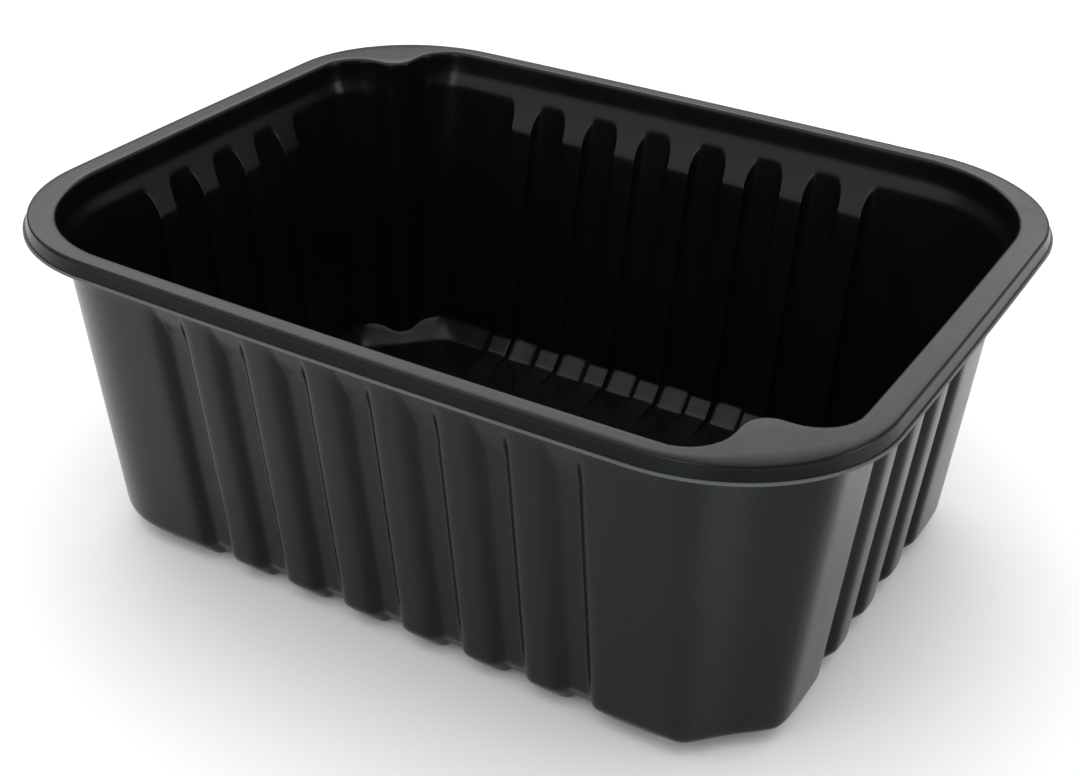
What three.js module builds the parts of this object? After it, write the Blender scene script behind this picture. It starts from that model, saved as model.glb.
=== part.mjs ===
// A black plastic food tray, moulded in one piece: a thin sheet with a flat rim, fluted walls and a
// shallow ribbed floor.
// Units are millimetres, Z points up, and the origin is the middle of the underside.
import * as THREE from "three";

// Overall size, measured over the lip, and the thickness of the sheet.
const LENGTH = 190;
const WIDTH = 148;
const HEIGHT = 76;
const SHEET = 0.6;

// The rim: a flat flange, rolled over into a short flared skirt that ends in a thin out-turned lip.
const RIM_AT_ENDS = 6.7;
const RIM_AT_SIDES = 5.2;
const LIP = 0.4;
const SKIRT = 2.8;
const SKIRT_FLARE = 0.6;
const ROLL = 0.7;
const MOUTH_ROUND = 0.6;

// The plan: sides that bow outwards a little at the top, and round corners drawn about these centres.
const BOW_AT_SIDES = 1.5;
const BOW_AT_ENDS = 0.7;
const LIP_CORNER = { x: 59.2, y: 40 };
const MOUTH_CORNER = { x: 58, y: 37.5 };
const FOOT_CORNER = { x: 61, y: 38.7 };

// Two opposite corners fold inwards round a pillar between two pockets, which leaves a wide shelf in the rim.
// Each pillar is solid: outside it is a blunt corner, a little sunk between two rounds like the pockets'.
const MOUTH_PILLAR = { x: 16, y: 17.3, pocket: 9.5, nose: 5, sink: 3.2 };
const FOOT_PILLAR = { x: 11.5, y: 11.5, pocket: 6, nose: 5.5, sink: 0.8 };

// The walls lean inwards, step in at a ledge that gets flatter on its way down, and carry flutes that
// start on the same slope.
const LEAN_AT_ENDS = 0.095;
const LEAN_AT_SIDES = 0.143;
const LEDGE_DEPTH = 4.9;
const LEDGE = 0.8;
const LEDGE_SLOPE = 0.23;
const LEDGE_CURVE = 0.0055;
const FLUTE_PITCH = 14.7;
const FLUTES_ON_SIDES = 7;
const FLUTES_ON_ENDS = 4;
const FLUTE_DEPTH = 2.2;
const FLUTE_FRONT = 2.85;
const FLUTE_ROOT = 5.15;

// The foot: a sloped face between wall and floor, cut off by a flatter ramp at the pillars, where the
// outer edge is lifted.
const FOOT_HEIGHT = 5;
const FOOT_RUN = 4.2;
const FLUTE_FOOT_LIFT = 0.7;
const RAMP_CUT = 16.6;
const RAMP_SLOPE = 0.5;
const RAMP_EDGE_LIFT = 0.6;

// Low ribs on the floor carry the flutes on and run out into the flat middle. They start further in
// than the floor between them, on its upper face more than underneath.
const FLOOR_RIB = 1.5;
const FLOOR_RIB_RUN = { inside: 1.3, outside: 0.4 };
const FLOOR_RIB_LENGTH = 13;

// How finely the curves are divided.
const CORNER_STEPS = 9;
const ARC_STEPS = 5;

const { lerp, clamp } = THREE.MathUtils;
const QUARTER = Math.PI / 2;

// A set of named sizes part of the way between two others.
function between(from, to, share) {
  return Object.fromEntries(Object.keys(from).map((key) => [key, lerp(from[key], to[key], share)]));
}

// A place on the round flank of a flute, a quarter of the way from its front to its root.
const FLUTE_FLANK = lerp(FLUTE_FRONT, FLUTE_ROOT, 0.25);

// The cross-section of a flute, from 1 on its flat front to 0 where its round flank runs out into the wall.
function fluteShare(fromMiddle) {
  const rise = clamp((FLUTE_ROOT - Math.abs(fromMiddle)) / (FLUTE_ROOT - FLUTE_FRONT), 0, 1);
  return 1 - Math.sqrt(1 - rise * rise);
}

// Places along a straight side, from its start to its end, that follow the flutes.
function sideStations(start, end, count) {
  const places = [{ at: start, share: 0 }];
  for (let i = 0; i < count; i++) {
    const centre = (i - (count - 1) / 2) * FLUTE_PITCH;
    for (const step of [-FLUTE_ROOT, -FLUTE_FLANK, -FLUTE_FRONT, FLUTE_FRONT, FLUTE_FLANK, FLUTE_ROOT]) {
      places.push({ at: centre + step, share: fluteShare(step) });
    }
    if (i < count - 1) places.push({ at: centre + FLUTE_PITCH / 2, share: 0 });
  }
  places.push({ at: end, share: 0 });
  return places;
}

// Points of an arc about a centre, without the first one. Its radius may change a little on the way.
function arc(centre, from, to, steps, across, along = across, change = () => 0) {
  return Array.from({ length: steps }, (_, i) => {
    const share = (i + 1) / steps;
    const turn = lerp(from, to, share);
    return {
      x: centre.x + (across + change(share)) * Math.cos(turn),
      y: centre.y + (along + change(share)) * Math.sin(turn),
    };
  });
}

// The folded line of the pillar corner at -X and +Y: a pocket, the pillar's nose and another pocket.
// The ledge of the wall runs out in the pockets.
function foldedCorner({ a, b, pillar, ledge }) {
  const { pocket, nose } = pillar;
  const fold = { x: pillar.x - a, y: b - pillar.y };
  const first = { x: fold.x + pocket, y: b - pocket };
  const last = { x: pocket - a, y: fold.y - pocket };
  return [
    ...arc(first, QUARTER, 2 * QUARTER, ARC_STEPS, pocket, pocket, (share) => ledge * (share - 1)),
    ...arc({ x: fold.x - nose, y: fold.y + nose }, 0, -QUARTER, ARC_STEPS, nose),
    ...arc(last, QUARTER, 2 * QUARTER, ARC_STEPS, pocket, pocket, (share) => -ledge * share),
  ];
}

// The outside of the same corner: two rounds and a sunk face between them.
function bluntCorner({ a, b, pillar, ledge }) {
  const { x, y, pocket, sink } = pillar;
  const first = { x: x + pocket - a, y: b - pocket };
  const last = { x: pocket - a, y: b - y - pocket };
  const facing = QUARTER + Math.atan2(y, x);
  const face = Array.from({ length: ARC_STEPS }, (_, i) => {
    const share = (i + 1) / (ARC_STEPS + 1);
    const out = pocket - sink * Math.sin(share * Math.PI) ** 2;
    return {
      x: lerp(first.x, last.x, share) + out * Math.cos(facing),
      y: lerp(first.y, last.y, share) + out * Math.sin(facing),
    };
  });
  return [
    ...arc(first, QUARTER, facing, ARC_STEPS, pocket, pocket, (share) => ledge * (share - 1)),
    ...face,
    ...arc(last, facing, 2 * QUARTER, ARC_STEPS, pocket, pocket, (share) => -ledge * share),
  ];
}

// The straight cut of the floor below the pillar, with one point for each point of the wall above it.
function cutCorner({ a, b, cut, outside }) {
  const wall = { ...wallPlan(HEIGHT - FOOT_HEIGHT), outside };
  const ends = pillarEnds(wall);
  const start = ends.x + wall.b;
  const end = ends.y - wall.a;
  return pillarCorner(wall).map((p) => {
    const share = (start - p.x - p.y) / (start - end);
    return { x: cut * (1 - share) - a, y: b - cut * share };
  });
}

// The corner at -X and +Y, where the pillar stands: folded or blunt in the wall, cut on the floor,
// and round in the rim.
function pillarCorner(plan) {
  if (plan.pillar) return plan.outside ? bluntCorner(plan) : foldedCorner(plan);
  if (plan.cut) return cutCorner(plan);
  const { a, b, corner } = plan;
  const centre = { x: -corner.x, y: corner.y };
  return arc(centre, QUARTER, 2 * QUARTER, 3 * ARC_STEPS, a - corner.x, b - corner.y);
}

// The plan at a pillar, where the bowed sides have come in a little and the ledge is left out.
function pillarPlan(plan) {
  const { a, b, corner, bow = 0, ledge = 0 } = plan;
  return {
    ...plan,
    a: a - bow * BOW_AT_ENDS * (corner.y / b) ** 2 + ledge,
    b: b - bow * BOW_AT_SIDES * (corner.x / a) ** 2 + ledge,
  };
}

// Where the pillar corner leaves the long side and joins the short one.
function pillarEnds({ a, b, corner, pillar, cut }) {
  if (pillar) return { x: pillar.x + pillar.pocket - a, y: b - pillar.y - pillar.pocket };
  if (cut) return { x: cut - a, y: b - cut };
  return { x: -corner.x, y: corner.y };
}

// One closed line round the tray: half of it is drawn, and the other half is the same, turned half round.
function outline(plan) {
  const { corner, flute = () => 0 } = plan;
  const endAt = (y) => plan.a - (plan.bow ?? 0) * BOW_AT_ENDS * (y / plan.b) ** 2;
  const sideAt = (x) => plan.b - (plan.bow ?? 0) * BOW_AT_SIDES * (x / plan.a) ** 2;
  const a = endAt(corner.y);
  const b = sideAt(corner.x);
  const folded = pillarPlan(plan);
  const ends = pillarEnds(folded);
  const half = [{ x: a, y: -ends.y, share: 0 }];
  for (const { at, share } of sideStations(-ends.y, corner.y, FLUTES_ON_ENDS).slice(1)) {
    half.push({ x: endAt(at) - flute(share), y: at, share });
  }
  half.push(...arc(corner, 0, QUARTER, CORNER_STEPS, a - corner.x, b - corner.y));
  for (const { at, share } of sideStations(-corner.x, -ends.x, FLUTES_ON_SIDES).slice(1, -1)) {
    half.push({ x: -at, y: sideAt(at) - flute(share), share });
  }
  half.push({ x: ends.x, y: b, share: 0 });
  half.push(...pillarCorner(folded).slice(0, -1));
  return [...half, ...half.map((p) => ({ ...p, x: -p.x, y: -p.y }))];
}

// A ring of points at one level, where the flutes' feet and the floor's ribs stand higher by their share.
function ring(plan, z, lift = 0) {
  return outline(plan).map((p) => new THREE.Vector3(p.x, p.y, z + lift * (p.share ?? 0)));
}

// The plan of the rim, drawn in from the lip by an inset.
function rimPlan(inset) {
  return { a: LENGTH / 2 - inset, b: WIDTH / 2 - inset, bow: 1, corner: LIP_CORNER };
}

// How far the ledge would bring the wall in at a depth below the rim.
function ledgeInset(depth) {
  const below = Math.max(0, depth - LEDGE_DEPTH);
  return below * (LEDGE_SLOPE + LEDGE_CURVE * below);
}

// The depth at which the ledge would have brought the wall in so far.
function ledgeDepth(inset) {
  const steepness = Math.sqrt(LEDGE_SLOPE ** 2 + 4 * LEDGE_CURVE * inset);
  return LEDGE_DEPTH + (steepness - LEDGE_SLOPE) / (2 * LEDGE_CURVE);
}

// The plan of the wall at a depth below the rim: its lean, its ledge and the flutes that start below it.
function wallPlan(depth, widen = 0) {
  const slope = ledgeInset(depth);
  const ledge = Math.min(LEDGE, slope);
  const down = depth / (HEIGHT - FOOT_HEIGHT);
  return {
    a: LENGTH / 2 - RIM_AT_ENDS - LEAN_AT_ENDS * depth - ledge + widen,
    b: WIDTH / 2 - RIM_AT_SIDES - LEAN_AT_SIDES * depth - ledge + widen,
    bow: 1 - down,
    corner: between(MOUTH_CORNER, FOOT_CORNER, down),
    pillar: between(MOUTH_PILLAR, FOOT_PILLAR, down),
    ledge: ledge * (1 - down),
    flute: (share) => Math.min(slope - ledge, FLUTE_DEPTH * share),
  };
}

// The height at which a wall meets the ramp below a pillar, or the sloped foot on either side of it.
function rampHeight(p) {
  const floor = floorPlan(0);
  const pastX = Math.abs(p.x) - floor.a;
  const pastY = Math.abs(p.y) - floor.b;
  const ramp = ((pastX + pastY + floor.cut) / Math.SQRT2) * RAMP_SLOPE;
  const steep = (FOOT_HEIGHT - SHEET) / FOOT_RUN;
  return SHEET + Math.max(ramp, pastX * steep, pastY * steep);
}

// The ring at the foot of the wall: level on the sides, and lower at the pillars, where it meets the ramp.
function footRing(outside) {
  const floor = floorPlan(0);
  const wall = { ...wallPlan(HEIGHT - FOOT_HEIGHT), outside };
  return ring(wall, FOOT_HEIGHT, FLUTE_FOOT_LIFT).map((p) => {
    const beside = Math.min(Math.abs(p.x) - floor.a, Math.abs(p.y) - floor.b);
    const lift = outside ? RAMP_EDGE_LIFT : 0;
    return p.x * p.y < 0 && beside > -floor.cut ? p.setZ(rampHeight(p) + lift) : p;
  });
}

// The plan of the floor, drawn in from the foot of the wall by an inset.
function floorPlan(inset) {
  const foot = wallPlan(HEIGHT - FOOT_HEIGHT);
  return {
    a: foot.a - FOOT_RUN - inset,
    b: foot.b - FOOT_RUN - inset,
    corner: { x: FOOT_CORNER.x - inset / 2, y: FOOT_CORNER.y - inset / 2 },
    cut: inset > 0 ? RAMP_CUT / 2 : RAMP_CUT,
  };
}

// One face of the sheet, ring by ring from the lip to the middle of the floor: folded round the pillars,
// or, for the outside, blunt there.
function faceRings(outside) {
  const ledgeFoot = ledgeDepth(LEDGE);
  const flankTop = ledgeDepth(LEDGE + FLUTE_DEPTH * fluteShare(FLUTE_FLANK));
  const fluteTop = ledgeDepth(LEDGE + FLUTE_DEPTH);
  const wallDepths = [MOUTH_ROUND, LEDGE_DEPTH, ledgeFoot, flankTop, fluteTop];
  const ribRun = outside ? FLOOR_RIB_RUN.outside : FLOOR_RIB_RUN.inside;
  return [
    ring(rimPlan(0), HEIGHT - SKIRT),
    ring(rimPlan(LIP), HEIGHT - SKIRT),
    ring(rimPlan(LIP + SKIRT_FLARE), HEIGHT - ROLL),
    ring(rimPlan(LIP + SKIRT_FLARE + ROLL), HEIGHT),
    ring({ ...wallPlan(0, MOUTH_ROUND), outside }, HEIGHT),
    ...wallDepths.map((depth) => ring({ ...wallPlan(depth), outside }, HEIGHT - depth)),
    footRing(outside),
    ring({ ...floorPlan(0), outside, flute: (share) => ribRun * share }, SHEET, FLOOR_RIB),
    ring({ ...floorPlan(FLOOR_RIB_LENGTH), outside }, SHEET),
  ];
}

// Triangles of one face of the sheet: bands between rings, and a fan round the middle.
function faceTriangles(rings, count) {
  const triangles = [];
  for (let row = 0; row < rings - 1; row++) {
    for (let i = 0; i < count; i++) {
      const [p, q] = [row * count + i, row * count + ((i + 1) % count)];
      const [r, s] = [p + count, q + count];
      triangles.push([p, q, r], [q, s, r]);
    }
  }
  const last = (rings - 1) * count;
  for (let i = 0; i < count; i++) triangles.push([last + i, last + ((i + 1) % count), rings * count]);
  return triangles;
}

// The lower face of the sheet: each point set back along its normal, by the full thickness on the flats.
function setBack(points, triangles) {
  const face = new THREE.BufferGeometry().setFromPoints(points);
  face.setIndex(triangles.flat());
  face.computeVertexNormals();
  const normals = face.getAttribute("normal");
  return points.map((point, i) => {
    const normal = new THREE.Vector3().fromBufferAttribute(normals, i);
    const thickness = normal.z > 0.75 ? SHEET / normal.z : SHEET;
    return point.clone().addScaledVector(normal, -thickness);
  });
}

// All points of a face, with the middle of the floor last.
function facePoints(rings) {
  return [...rings.flat(), new THREE.Vector3(0, 0, SHEET)];
}

// The closed tray: its upper face, its lower face, and the cut edge of the lip between them.
function trayGeometry() {
  const rings = faceRings(false);
  const count = rings[0].length;
  const triangles = faceTriangles(rings.length, count);
  const upper = facePoints(rings);
  const lower = setBack(facePoints(faceRings(true)), triangles);
  const underside = triangles.map((corners) => corners.map((c) => c + upper.length).reverse());
  const edge = [];
  for (let i = 0; i < count; i++) {
    const next = (i + 1) % count;
    edge.push([i, i + upper.length, next], [next, i + upper.length, next + upper.length]);
  }
  const geometry = new THREE.BufferGeometry().setFromPoints([...upper, ...lower]);
  geometry.setIndex([...triangles, ...underside, ...edge].flat());
  geometry.computeVertexNormals();
  return geometry;
}

const blackPlastic = new THREE.MeshStandardMaterial({ color: 0x141716, roughness: 0.35, metalness: 0 });
const tray = new THREE.Mesh(trayGeometry(), blackPlastic);
tray.name = "tray";

const object = new THREE.Group();
object.add(tray);

export default object;
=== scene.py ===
import math

import bpy
from mathutils import Matrix, Vector


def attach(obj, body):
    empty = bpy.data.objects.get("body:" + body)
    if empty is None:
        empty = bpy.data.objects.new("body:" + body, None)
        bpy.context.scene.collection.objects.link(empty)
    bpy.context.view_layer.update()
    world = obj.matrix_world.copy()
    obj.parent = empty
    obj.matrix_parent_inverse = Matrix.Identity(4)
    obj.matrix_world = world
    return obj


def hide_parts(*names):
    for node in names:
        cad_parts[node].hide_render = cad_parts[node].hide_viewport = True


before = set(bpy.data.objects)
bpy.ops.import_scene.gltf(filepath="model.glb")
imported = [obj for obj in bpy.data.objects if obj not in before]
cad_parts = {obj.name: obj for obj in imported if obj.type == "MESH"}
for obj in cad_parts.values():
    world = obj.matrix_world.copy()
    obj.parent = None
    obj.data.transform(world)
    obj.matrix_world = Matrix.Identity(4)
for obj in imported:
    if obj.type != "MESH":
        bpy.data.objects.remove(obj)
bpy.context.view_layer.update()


# The tray: moulded in one piece of black polypropylene, a thin sheet from a flat rim down to a ribbed floor.
# Its walls are fluted for stiffness. At two opposite corners it folds inwards round a solid pillar,
# which leaves a wide place in the rim to hold it by and is blunt and a little sunk outside.
class Value:
    """A socket of a node tree. Arithmetic on values adds the Math nodes that work it out."""

    def __init__(self, tree, socket):
        self.tree = tree
        self.socket = socket

    def node(self, kind, settings=None, sockets=None, output=0):
        """Adds a node: its settings first, then the values or links of its sockets."""
        node = self.tree.nodes.new(kind)
        for name, setting in (settings or {}).items():
            setattr(node, name, setting)
        for name, value in (sockets or {}).items():
            if isinstance(value, Value):
                self.tree.links.new(value.socket, node.inputs[name])
            else:
                node.inputs[name].default_value = value
        return Value(self.tree, node.outputs[output]) if node.outputs else node

    def math(self, operation, *operands):
        return self.node("ShaderNodeMath", {"operation": operation}, dict(enumerate(operands)))

    def __add__(self, other):
        return self.math("ADD", self, other)

    def __radd__(self, other):
        return self.math("ADD", other, self)

    def __sub__(self, other):
        return self.math("SUBTRACT", self, other)

    def __rsub__(self, other):
        return self.math("SUBTRACT", other, self)

    def __mul__(self, other):
        return self.math("MULTIPLY", self, other)

    def __rmul__(self, other):
        return self.math("MULTIPLY", other, self)

    def __truediv__(self, other):
        return self.math("DIVIDE", self, other)

    def __rtruediv__(self, other):
        return self.math("DIVIDE", other, self)

    def at_least(self, other):
        return self.math("MAXIMUM", self, other)

    def at_most(self, other):
        return self.math("MINIMUM", self, other)

    def share(self):
        return self.at_least(0).at_most(1)

    def sine(self):
        return self.math("SINE", self)

    def cosine(self):
        return self.math("COSINE", self)

    def root(self):
        return self.math("SQRT", self)


# The plastic is coloured right through, with nothing printed or coated on it. It has the satin gloss
# of the mould, a little cloudy, with a fine grain and faint drag lines up the walls.
plastic = bpy.data.materials.new("black_plastic")
plastic.use_nodes = True
surface = plastic.node_tree.nodes["Principled BSDF"]
surface.inputs["IOR"].default_value = 1.3
surface.inputs["Specular Tint"].default_value = (0.9, 1, 0.95, 1)
coordinates = plastic.node_tree.nodes.new("ShaderNodeTexCoord").outputs["Object"]
here = Value(plastic.node_tree, coordinates)


def noise(vector, scale, detail):
    """A smooth random value about one half, with its scale in patches to the metre."""
    sockets = {"Vector": vector, "Scale": scale, "Detail": detail, "Roughness": 0.55}
    return here.node("ShaderNodeTexNoise", {}, sockets)


def mixed(share, colour, other):
    """One colour where the share is 0, another where it is 1."""
    return here.node("ShaderNodeMix", {"data_type": "RGBA"}, {0: share, 6: colour, 7: other}, 2)


# Broad clouds where the melt cooled unevenly, faint upright drag lines from the mould, a fine grain,
# and patches of light wear. The first three vary about a half.
drawn_out = (1, 1, 0.04)
upright = here.node("ShaderNodeVectorMath", {"operation": "MULTIPLY"}, {0: here, 1: drawn_out})
clouds = noise(here, scale=45, detail=3)
drag = noise(upright, scale=900, detail=2)
grain = noise(here, scale=2600, detail=2)
unworn = 0.56
wear_contrast = 4
wear = (noise(here, scale=160, detail=5) - unworn).share() * wear_contrast
tone = (0.5 + (clouds - 0.5) * 1.2 + (drag - 0.5) * 0.3).share()
deep_black = (0.0014, 0.0022, 0.0016, 1)
cloudy_black = (0.0032, 0.0042, 0.0035, 1)
black = mixed(tone, deep_black, cloudy_black)

# The thin edge of the lip is painted paler, a painted highlight standing for the bright line of light along
# it, and it is made duller than the rest.
lip = here.node("ShaderNodeAttribute", {"attribute_name": "lip_edge"}, {}, 2)
lip_highlight_share = lip * (0.7 + clouds * 0.6).share()
# The pale grey of the painted highlight along the lip edge.
painted_highlight_grey = (0.085, 0.093, 0.087, 1)
colour = mixed(lip_highlight_share, black, painted_highlight_grey)
satin = 0.25
uneven = (clouds - 0.5) * 0.12 + (drag - 0.5) * 0.05 + (grain - 0.5) * 0.05 + wear * 0.05
dullness = satin + uneven + lip_highlight_share * 0.25
relief_sockets = {"Strength": 0.12, "Distance": 0.0002, "Height": grain * 0.5 + drag * 0.5}
relief = here.node("ShaderNodeBump", {}, relief_sockets)
for name, value in {"Base Color": colour, "Roughness": dullness, "Normal": relief}.items():
    plastic.node_tree.links.new(value.socket, surface.inputs[name])

# The sizes are in millimetres, apart from leans, slopes, the ledge's curve and the numbers of flutes.
tray_sizes = {
    "Length": 190,
    "Width": 148,
    "Height": 76,
    "Sheet": 0.6,
    "Rim at ends": 6.7,
    "Rim at sides": 5.2,
    "Lip": 0.4,
    "Skirt": 2.8,
    "Skirt flare": 0.6,
    "Roll": 0.7,
    "Mouth round": 0.6,
    "Bow at sides": 1.5,
    "Bow at ends": 0.7,
    "Lip corner X": 59.2,
    "Lip corner Y": 40,
    "Mouth corner X": 58,
    "Mouth corner Y": 37.5,
    "Foot corner X": 61,
    "Foot corner Y": 38.7,
    "Mouth pillar X": 16,
    "Mouth pillar Y": 17.3,
    "Mouth pocket": 9.5,
    "Mouth nose": 5,
    "Mouth sink": 3.2,
    "Foot pillar": 11.5,
    "Foot pocket": 6,
    "Foot nose": 5.5,
    "Foot sink": 0.8,
    "Lean at ends": 0.095,
    "Lean at sides": 0.143,
    "Ledge depth": 4.9,
    "Ledge": 0.8,
    "Ledge slope": 0.23,
    "Ledge curve": 0.0055,
    "Ledge round": 0.2,
    "Flute top round": 0.8,
    "Flute pitch": 14.7,
    "Flutes on sides": 7,
    "Flutes on ends": 4,
    "Flute depth": 2.2,
    "Flute front": 2.85,
    "Flute root": 5.15,
    "Flute crease": 0.9,
    "Foot height": 5,
    "Foot run": 4.2,
    "Flute foot lift": 0.7,
    "Ramp cut": 16.6,
    "Ramp slope": 0.5,
    "Ramp edge lift": 0.2,
    "Floor rib": 1.5,
    "Floor rib run": 1.3,
    "Floor rib length": 13,
}

# How many cells each stretch takes round the rim: half a flute, a plain stretch, a corner and an arc.
front_cells = 1
crease_cells = 3
flank_cells = 7
land_cells = 1
plain_cells = 3
corner_cells = 22
arc_cells = 8
flute_cells = 2 * (front_cells + crease_cells + flank_cells + land_cells)
end_cells = 2 * plain_cells + tray_sizes["Flutes on ends"] * flute_cells
side_cells = 2 * plain_cells + tray_sizes["Flutes on sides"] * flute_cells
pillar_cells = 3 * arc_cells + 2
half_cells = end_cells + corner_cells + side_cells + pillar_cells

# And how many rows each stretch takes from the lip to the middle of the floor.
row_counts = {
    "lip": 2,
    "skirt": 3,
    "roll": 4,
    "flange": 4,
    "mouth": 5,
    "upper wall": 4,
    "ledge": 8,
    "flute tops": 12,
    "wall": 10,
    "wall foot": 4,
    "foot": 8,
    "floor edge": 4,
    "rib": 6,
    "middle": 3,
}
all_rows = sum(row_counts.values())

tree = bpy.data.node_groups.new("tray_sheet", "GeometryNodeTree")
tree.interface.new_socket("Geometry", in_out="OUTPUT", socket_type="NodeSocketGeometry")
socket_kinds = {name: "NodeSocketFloat" for name in tray_sizes}
socket_kinds["Plastic"] = "NodeSocketMaterial"
identifiers = {}
for name, kind in socket_kinds.items():
    socket = tree.interface.new_socket(name, in_out="INPUT", socket_type=kind)
    identifiers[name] = socket.identifier
entry = tree.nodes.new("NodeGroupInput")
size = {name: Value(tree, entry.outputs[name]) for name in identifiers}

# Any value of the tree can add nodes to it. This one adds those that follow from no other.
start = size["Length"]

# A flat grid, with one unit to a cell: its columns run round the rim and its rows run down to the floor.
columns = 2 * half_cells
grid_sockets = {"Size X": columns, "Size Y": all_rows, "Vertices X": columns + 1, "Vertices Y": all_rows + 1}
grid = start.node("GeometryNodeMeshGrid", {}, grid_sockets)
place = start.node("GeometryNodeInputPosition")
column = start.node("ShaderNodeSeparateXYZ", {}, {0: place}, 0) + half_cells
row = start.node("ShaderNodeSeparateXYZ", {}, {0: place}, 1) + all_rows / 2

# The thin edge of the lip is marked, from 1 on the edge itself to 0 at the foot of the skirt. The mark places
# the painted highlight along the lip.
lip_edge = 1 - (row - 1).share()
sheet_grid = start.node(
    "GeometryNodeStoreNamedAttribute",
    {"data_type": "FLOAT", "domain": "POINT"},
    {"Geometry": grid, "Name": "lip_edge", "Value": lip_edge},
)

# Both halves are alike, turned half round. A hair is too small a part of a cell to matter.
hair = 0.001
around = column.math("MODULO", column + hair, columns) - hair
second_half = around.math("GREATER_THAN", around, half_cells - 0.5)
turn = 1 - 2 * second_half
cell = around - half_cells * second_half

progress = {}
first_row = 0
for name, count in row_counts.items():
    progress[name] = ((row - first_row) / count).share()
    first_row += count

quarter = math.pi / 2


def flute_run(cells, flutes, front, lean):
    """Where a cell lies along a fluted run, and how far it stands out as a share of the flute's depth.

    The lean is how far the steepest part of the flank is turned from upright, as an angle.
    """
    inner = (cells - plain_cells).at_least(0).at_most(tray_sizes[flutes] * flute_cells)
    index = inner.math("FLOOR", inner / flute_cells)
    offset = inner - index * flute_cells - flute_cells / 2
    steps = offset.math("ABSOLUTE", offset)
    shares = []
    for stretch_cells in (front_cells, crease_cells, flank_cells, land_cells):
        shares.append((steps / stretch_cells).share())
        steps = steps - stretch_cells
    turned = lean + shares[2] * (quarter - lean)
    from_middle = (
        (front - size["Flute crease"]) * shares[0]
        + size["Flute crease"] * shares[1]
        + (size["Flute root"] - front) * (1 - turned.cosine() / math.cos(lean))
        + (size["Flute pitch"] / 2 - size["Flute root"]) * shares[3]
    )
    middle = (index + 0.5 - size[flutes] / 2) * size["Flute pitch"]
    along = middle + offset.math("SIGN", offset) * from_middle
    return along, (1 - turned.sine()) / (1 - math.sin(lean))


end_cell = cell.at_most(end_cells)
corner_share = ((cell - end_cells) / corner_cells).share()
side_cell = (cell - end_cells - corner_cells).at_least(0).at_most(side_cells)
pillar_cell = (cell - (half_cells - pillar_cells)).at_least(0)


def leading(cells, count):
    """The plain ends of a side: from 1 to 0 before its flutes, and from 0 to 1 after them."""
    before = 1 - (cells / plain_cells).share()
    after = ((cells - (count - plain_cells)) / plain_cells).share()
    return before, after


def outline(a, b, corner, bow, along, flute, pillar, gap=0):
    """The plan of the tray at each row, as X and Y, from its half length and half width there.

    The gap is how far the corner at the pillar stands outside the walls beside it.
    """
    end_bow = bow * size["Bow at ends"]
    side_bow = bow * size["Bow at sides"]
    corner_a = a - end_bow * (corner[1] / b) * (corner[1] / b)
    corner_b = b - side_bow * (corner[0] / a) * (corner[0] / a)
    pillar_end, pillar_line = pillar(corner_a + gap, corner_b + gap)
    run = size["Flutes on ends"] * size["Flute pitch"] / 2
    before, after = leading(end_cell, end_cells)
    end_y = along[0] - (pillar_end[1] - run) * before + (corner[1] - run) * after
    end_x = a - end_bow * (end_y / b) * (end_y / b) - flute
    angle = corner_share * quarter
    corner_x = corner[0] + (corner_a - corner[0]) * angle.cosine()
    corner_y = corner[1] + (corner_b - corner[1]) * angle.sine()
    run = size["Flutes on sides"] * size["Flute pitch"] / 2
    before, after = leading(side_cell, side_cells)
    side_x = (corner[0] - run) * before - along[1] + (pillar_end[0] + run) * after
    side_y = b - side_bow * (side_x / a) * (side_x / a) - flute
    stretches = [(end_x, end_y), (corner_x, corner_y), (side_x, side_y), pillar_line]
    starts = [end_cells, end_cells + corner_cells, half_cells - pillar_cells]
    line = stretches[0]
    for begin, further in zip(starts, stretches[1:]):
        beyond = cell.math("GREATER_THAN", cell, begin + hair)
        choices = [{"Switch": beyond, "False": near, "True": far} for near, far in zip(line, further)]
        line = [cell.node("GeometryNodeSwitch", {"input_type": "FLOAT"}, choice) for choice in choices]
    return [turn * coordinate for coordinate in line]


# The rim: a lip, a skirt that rolls over, and a flange.
roll_angle = progress["roll"] * quarter
lip_corner = (size["Lip corner X"], size["Lip corner Y"])


def plain_corner(a, b):
    """The corner of the rim over the pillar, which is round like the others."""
    angle = pillar_cell * (quarter / pillar_cells)
    line_x = -1 * lip_corner[0] - (a - lip_corner[0]) * angle.sine()
    line_y = lip_corner[1] + (b - lip_corner[1]) * angle.cosine()
    return (-1 * lip_corner[0], lip_corner[1]), (line_x, line_y)


# The wall: a round mouth, a sloped ledge, the flutes, and the folds of the pillars.
mouth_angle = progress["mouth"] * quarter
widen = size["Mouth round"] * (1 - mouth_angle.sine())
wall_depth = size["Height"] - size["Foot height"]


def ledge_run(inward):
    """How far below its upper edge the ledge has come in so far. It gets flatter on the way down."""
    steep = size["Ledge slope"]
    return ((steep * steep + 4 * size["Ledge curve"] * inward).root() - steep) / (2 * size["Ledge curve"])


# The rows are close together round the ledge, the tops of the flutes and the foot, with room for rounding.
ledge_room = 0.6
tops_room = 1.2
foot_room = 2
ledge_start = size["Ledge depth"] - ledge_room
ledge_end = size["Ledge depth"] + ledge_run(size["Ledge"]) + ledge_room
tops_end = size["Ledge depth"] + ledge_run(size["Ledge"] + size["Flute depth"]) + tops_room
foot_start = wall_depth - foot_room
depth = (
    size["Mouth round"] * (1 - mouth_angle.cosine())
    + (ledge_start - size["Mouth round"]) * progress["upper wall"]
    + (ledge_end - ledge_start) * progress["ledge"]
    + (tops_end - ledge_end) * progress["flute tops"]
    + (foot_start - tops_end) * progress["wall"]
    + (wall_depth - foot_start) * progress["wall foot"]
)
down = depth / wall_depth


def smaller(one, other, ease):
    """The smaller of two values, with the change from one to the other rounded off."""
    return one.math("SMOOTH_MIN", one, other, ease)


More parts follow.
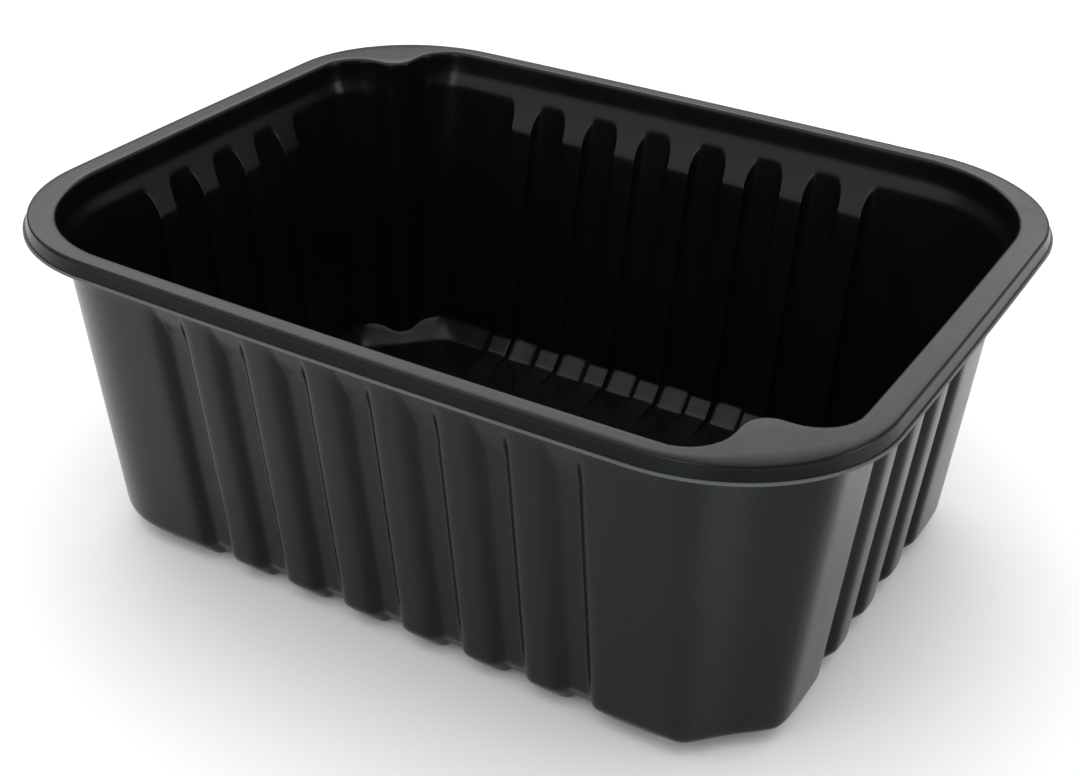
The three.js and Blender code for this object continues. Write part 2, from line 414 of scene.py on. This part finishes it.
ledge_ease = 0.8
below = -1 * smaller(size["Ledge depth"] - depth, 0, ledge_ease)
slope = below * (size["Ledge slope"] + size["Ledge curve"] * below)
ledge = smaller(slope, size["Ledge"], size["Ledge round"])
wall_a = size["Length"] / 2 - size["Rim at ends"] - size["Lean at ends"] * depth - ledge + widen
wall_b = size["Width"] / 2 - size["Rim at sides"] - size["Lean at sides"] * depth - ledge + widen


def blend(one, other, share):
    """One value where the share is 0, another where it is 1."""
    return one + (other - one) * share


def between(at_mouth, at_foot):
    """A size part of the way down the wall."""
    return blend(size[at_mouth], size[at_foot], down)


wall_corner = (between("Mouth corner X", "Foot corner X"), between("Mouth corner Y", "Foot corner Y"))
pocket = between("Mouth pocket", "Foot pocket")
nose = between("Mouth nose", "Foot nose")
sink = between("Mouth sink", "Foot sink")
fold_x = between("Mouth pillar X", "Foot pillar")
fold_y = between("Mouth pillar Y", "Foot pillar")
run_out = ledge * (1 - down)


def stretch(first, count):
    """How far a cell is along one stretch of the pillar corner."""
    return ((pillar_cell - first) / count).share()


def folded_corner(a, b, ends, pocket):
    """The corner folded round the pillar: a pocket, the pillar's nose and another pocket."""
    first = stretch(0, arc_cells)
    into = stretch(arc_cells, 1)
    second = stretch(arc_cells + 1, arc_cells) * quarter
    out = stretch(2 * arc_cells + 1, 1)
    third = stretch(2 * arc_cells + 2, arc_cells)
    first_radius = pocket - run_out * (1 - first)
    third_radius = pocket - run_out * third
    line_x = (
        ends[0]
        - first_radius * (first * quarter).sine()
        - nose * (1 - second.cosine())
        - (fold_x - pocket - nose) * out
        - third_radius * (third * quarter).sine()
    )
    line_y = (
        b
        - 2 * pocket
        + first_radius * (first * quarter).cosine()
        - (fold_y - pocket - nose) * into
        - nose * second.sine()
        + third_radius * (third * quarter).cosine()
    )
    return line_x, line_y


def blunt_corner(a, b, ends, pocket):
    """The outside of the pillar: two rounds with a sunk face between them."""
    first = stretch(0, arc_cells)
    across = stretch(arc_cells, arc_cells + 2)
    last = stretch(2 * arc_cells + 2, arc_cells)
    facing = fold_x.math("ARCTAN2", fold_y, fold_x)
    angle = facing * first + (quarter - facing) * last
    hollow = (across * math.pi).sine()
    radius = pocket - run_out * (1 - first + last) - sink * hollow * hollow
    line_x = ends[0] + (pocket - a - ends[0]) * across - radius * angle.sine()
    line_y = b - pocket + (ends[1] - b + pocket) * across + radius * angle.cosine()
    return line_x, line_y


# The floor: flat in the middle, with a straight cut below each pillar and low ribs below the flutes.
rib_length = size["Floor rib length"]
floor_edge = 2
rib_done = progress["floor edge"] * floor_edge + progress["rib"] * (rib_length - floor_edge)
rib_share = 1 - rib_done / rib_length
inset = rib_length * (1 - rib_share)
foot_inset = size["Ledge"] + size["Foot run"]
floor_a = size["Length"] / 2 - size["Rim at ends"] - size["Lean at ends"] * wall_depth - foot_inset
floor_b = size["Width"] / 2 - size["Rim at sides"] - size["Lean at sides"] * wall_depth - foot_inset
floor_corner = (size["Foot corner X"] - inset / 2, size["Foot corner Y"] - inset / 2)
cut = size["Ramp cut"] * (1 + rib_share) / 2
steep = (size["Foot height"] - size["Sheet"]) / size["Foot run"]
at_pillar = cell.math("GREATER_THAN", cell, half_cells - pillar_cells - 0.5)
lower = (depth - tops_end).at_least(0) / (wall_depth - tops_end)


def both_runs(front, lean):
    """Places along the ends and the long sides, and the share of a flute at each."""
    end_along, end_share = flute_run(end_cell, "Flutes on ends", front, lean)
    side_along, side_share = flute_run(side_cell, "Flutes on sides", front, lean)
    return (end_along, side_along), end_share + side_share


# Both faces have the same places round the rim, so that they meet all along the lip.
rim_along = both_runs(size["Flute front"], lean=0)[0]

# The sizes are in millimetres up to here. Points that touch are made one, and all below the rim is softened.
to_metres = 0.001
touching = 1e-6
rim_depth = 4
softness = 0.5
height_now = start.node("ShaderNodeSeparateXYZ", {}, {0: start.node("GeometryNodeInputPosition")}, 2)
below_rim = height_now.math("LESS_THAN", height_now, (size["Height"] - rim_depth) * to_metres)


def sheet_face(pillar_corner, back, front, lean, flute_round, rib_run, pillar_lift, softening):
    """One face of the sheet, formed from the grid and set back outwards and downwards by a thickness."""
    along, flute_share = both_runs(front, lean)
    out = mouth_angle.sine() * back
    fold = {}

    def on_wall(a, b):
        ends = (fold_x + pocket + out - a, b - fold_y - pocket - out)
        fold["x"], fold["y"] = pillar_corner(a, b, ends, pocket + out)
        fold["first"], fold["last"] = ends[0] + b, ends[1] - a
        return ends, (fold["x"], fold["y"])

    def on_floor(a, b):
        share = (fold["first"] - fold["x"] - fold["y"]) / (fold["first"] - fold["last"])
        return (cut - a, b - cut), (cut * (1 - share) - a, b - cut * share)

    roll = size["Roll"] - back
    rim_inset = (
        (size["Lip"] + back) * (row - 1).share()
        + size["Skirt flare"] * progress["skirt"]
        + roll * (1 - roll_angle.cosine())
    )
    rim_height = (
        size["Height"]
        - size["Skirt"]
        - row.share() * back
        + (size["Skirt"] - roll) * progress["skirt"]
        + roll * roll_angle.sine()
    )
    rim_a, rim_b = size["Length"] / 2 - rim_inset, size["Width"] / 2 - rim_inset
    rim_line = outline(rim_a, rim_b, lip_corner, 1, rim_along, 0, plain_corner)
    flute = smaller(slope, size["Ledge"] + size["Flute depth"] * flute_share, flute_round) - ledge
    wall_line = outline(wall_a + out, wall_b + out, wall_corner, 1 - down, along, flute, on_wall, run_out)
    rib_foot = flute_share * rib_run * rib_share
    floor_line = outline(floor_a - inset, floor_b - inset, floor_corner, 0, along, rib_foot, on_floor)
    floor_height = size["Sheet"] - back + size["Floor rib"] * flute_share * rib_share

    # The wall ends level on the sides, and runs on down to the ramp at the pillars.
    past_x = -1 * fold["x"] - floor_a - back
    past_y = fold["y"] - floor_b - back
    ramp = (past_x + past_y + size["Ramp cut"]) * (size["Ramp slope"] / math.sqrt(2))
    pillar_foot = size["Sheet"] + pillar_lift + ramp.at_least(past_x * steep).at_least(past_y * steep)
    foot_height = blend(size["Foot height"] + size["Flute foot lift"] * flute_share, pillar_foot, at_pillar)
    wall_height = size["Height"] - depth.at_most(tops_end) - (size["Height"] - tops_end - foot_height) * lower
    wall_height = wall_height - mouth_angle.cosine() * back
    on_rim = [*rim_line, rim_height]
    down_wall = [*wall_line, wall_height]
    across_floor = [*floor_line, floor_height]
    x, y, z = (
        blend(blend(rim, wall, progress["flange"]), floor, progress["foot"])
        for rim, wall, floor in zip(on_rim, down_wall, across_floor)
    )
    spread = 1 - progress["middle"]
    point = start.node("ShaderNodeCombineXYZ", {}, {"X": x * spread, "Y": y * spread, "Z": z})
    metres = start.node("ShaderNodeVectorMath", {"operation": "SCALE"}, {0: point, "Scale": to_metres})
    formed = start.node("GeometryNodeSetPosition", {}, {"Geometry": sheet_grid, "Position": metres})
    closed = start.node("GeometryNodeMergeByDistance", {}, {"Geometry": formed, "Distance": touching})
    now = start.node("GeometryNodeInputPosition")
    soft_place = start.node(
        "GeometryNodeBlurAttribute",
        {"data_type": "FLOAT_VECTOR"},
        {"Value": now, "Iterations": softening, "Weight": below_rim * softness},
    )
    return start.node("GeometryNodeSetPosition", {}, {"Geometry": closed, "Position": soft_place})


# Inside, the edges are almost as sharp as the mould's. Outside, the flutes are narrower because of the
# sheet's thickness, and the corners of the grooves between them are rounder.
inside = sheet_face(
    folded_corner,
    back=0,
    front=size["Flute front"],
    lean=0,
    flute_round=size["Ledge round"],
    rib_run=size["Floor rib run"],
    pillar_lift=0,
    softening=1,
)
narrowing = 0.6
run_below = 0.3
outside = sheet_face(
    blunt_corner,
    back=size["Sheet"],
    front=size["Flute front"] - size["Sheet"] * narrowing,
    lean=0.4,
    flute_round=size["Flute top round"],
    rib_run=size["Floor rib run"] * run_below,
    pillar_lift=size["Ramp edge lift"],
    softening=5,
)
underside = start.node("GeometryNodeFlipFaces", {}, {"Mesh": outside})
join = tree.nodes.new("GeometryNodeJoinGeometry")
tree.links.new(inside.socket, join.inputs[0])
tree.links.new(underside.socket, join.inputs[0])
joined = Value(tree, join.outputs[0])
sheet = start.node("GeometryNodeMergeByDistance", {}, {"Geometry": joined, "Distance": touching})

# Edges that bend more than this are shaded as sharp, and all others as smooth.
sharp_bend = math.radians(35)
bend = start.node("GeometryNodeInputMeshEdgeAngle")
sharp = bend.math("GREATER_THAN", bend, sharp_bend)
smooth = start.node("GeometryNodeSetShadeSmooth", {}, {"Geometry": sheet, "Shade Smooth": True})
crisp = start.node(
    "GeometryNodeSetShadeSmooth",
    {"domain": "EDGE"},
    {"Geometry": smooth, "Selection": sharp, "Shade Smooth": False},
)
real = start.node("GeometryNodeRealizeInstances", {}, {"Geometry": crisp})
finished = start.node("GeometryNodeSetMaterial", {}, {"Geometry": real, "Material": size["Plastic"]})
start.node("NodeGroupOutput", {}, {0: finished})

former = bpy.data.objects.new("tray_former", bpy.data.meshes.new("tray_former"))
bpy.context.scene.collection.objects.link(former)
forming = former.modifiers.new("tray_sheet", "NODES")
forming.node_group = tree
for name, value in tray_sizes.items():
    forming[identifiers[name]] = float(value)
forming[identifiers["Plastic"]] = plastic
shaped = former.evaluated_get(bpy.context.evaluated_depsgraph_get())
tray = bpy.data.objects.new("tray_sheet", bpy.data.meshes.new_from_object(shaped))
bpy.data.objects.remove(former)
bpy.context.scene.collection.objects.link(tray)
tray.data.materials.clear()
tray.data.materials.append(plastic)
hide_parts("tray")
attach(tray, "root")


# The floor under the tray: a wide, flat board covered in matt white paper.
# It stands for the white ground of a studio and has no edge in sight.
floor_board = bpy.data.objects.new("floor_board", bpy.data.meshes.new("floor_board"))
reach = 1.2
corners = [(-reach, -reach, 0), (reach, -reach, 0), (reach, reach, 0), (-reach, reach, 0)]
floor_board.data.from_pydata(corners, [], [(0, 1, 2, 3)])
bpy.context.scene.collection.objects.link(floor_board)
paper = bpy.data.materials.new("pale_paper")
paper.use_nodes = True
paper_surface = paper.node_tree.nodes["Principled BSDF"]
paper_surface.inputs["Base Color"].default_value = (0.9, 0.9, 0.9, 1)
paper_surface.inputs["Roughness"].default_value = 0.9
floor_board.data.materials.append(paper)


# The studio: a pale dome that is dim near the horizon, with large soft boxes overhead, behind, in front and
# at the right. Two narrow strip lamps, in front and at the right, put the bright ends on the ledge.
world = bpy.data.worlds.new("studio")
world.use_nodes = True
dome = world.node_tree.nodes["Background"]
outwards = world.node_tree.nodes.new("ShaderNodeTexCoord").outputs["Generated"]
direction = Value(world.node_tree, outwards)
height = direction.node("ShaderNodeSeparateXYZ", {}, {0: direction}, 2)
rise = direction.node(
    "ShaderNodeMapRange",
    {"interpolation_type": "SMOOTHSTEP"},
    {"Value": height, "From Min": 0.05, "From Max": 0.45, "To Min": 0.25, "To Max": 0.68},
)
dome.inputs["Color"].default_value = (1, 1, 1, 1)
world.node_tree.links.new(rise.socket, dome.inputs["Strength"])
bpy.context.scene.world = world
bpy.context.scene.view_settings.view_transform = "Standard"


def towards(azimuth, elevation):
    """The direction at an azimuth from the front, to the right, and an elevation, in degrees."""
    azimuth, elevation = math.radians(azimuth), math.radians(elevation)
    level = math.cos(elevation)
    return Vector((math.sin(azimuth) * level, -math.cos(azimuth) * level, math.sin(elevation)))


def soft_box(name, azimuth, elevation, distance, width, height, radiance):
    """A rectangular lamp that faces the tray, with its brightness as seen in a mirror."""
    lamp = bpy.data.objects.new(name, bpy.data.lights.new(name, "AREA"))
    lamp.data.shape = "RECTANGLE"
    lamp.data.size = width
    lamp.data.size_y = height
    lamp.data.energy = radiance * math.pi * width * height
    away = towards(azimuth, elevation)
    facing = away.to_track_quat("Z", "Y").to_matrix().to_4x4()
    lamp.matrix_world = Matrix.Translation(away * distance) @ facing
    bpy.context.scene.collection.objects.link(lamp)


soft_box("overhead_box", azimuth=0, elevation=90, distance=1.4, width=2.2, height=2.2, radiance=1.2)
soft_box("back_box", azimuth=216, elevation=34.3, distance=1.6, width=2.4, height=0.56, radiance=2.05)
soft_box("right_box", azimuth=132, elevation=9, distance=1.8, width=1.6, height=0.45, radiance=0.6)
soft_box("front_box", azimuth=-28, elevation=26, distance=1.8, width=1.6, height=1.1, radiance=1)
soft_box("front_strip", azimuth=8, elevation=16, distance=1.6, width=0.6, height=0.5, radiance=3.5)
soft_box("right_strip", azimuth=103, elevation=10, distance=1.6, width=0.6, height=0.4, radiance=4)


# The camera: a lens of normal length, well above one of the pillar corners and turned a little on its axis.
# It shows the near walls from outside and the far ones from inside, down to the floor.
stand = Vector((0.16233, -0.27522, 0.22078))
camera_azimuth = 30.44
roll = math.radians(1.39)
back = towards(camera_azimuth, elevation=30.63)
right = towards(camera_azimuth + 90, elevation=0)
up = back.cross(right)
level_right = right * math.cos(roll) + up * math.sin(roll)
level_up = up * math.cos(roll) - right * math.sin(roll)
camera = bpy.data.objects.new("camera", bpy.data.cameras.new("camera"))
camera.data.sensor_fit = "HORIZONTAL"
camera.data.sensor_width = 36
camera.data.lens = 55.957
camera.data.clip_start = 0.01
axes = Matrix((level_right, level_up, back)).transposed().to_4x4()
camera.matrix_world = Matrix.Translation(stand) @ axes
bpy.context.scene.collection.objects.link(camera)
bpy.context.scene.camera = camera
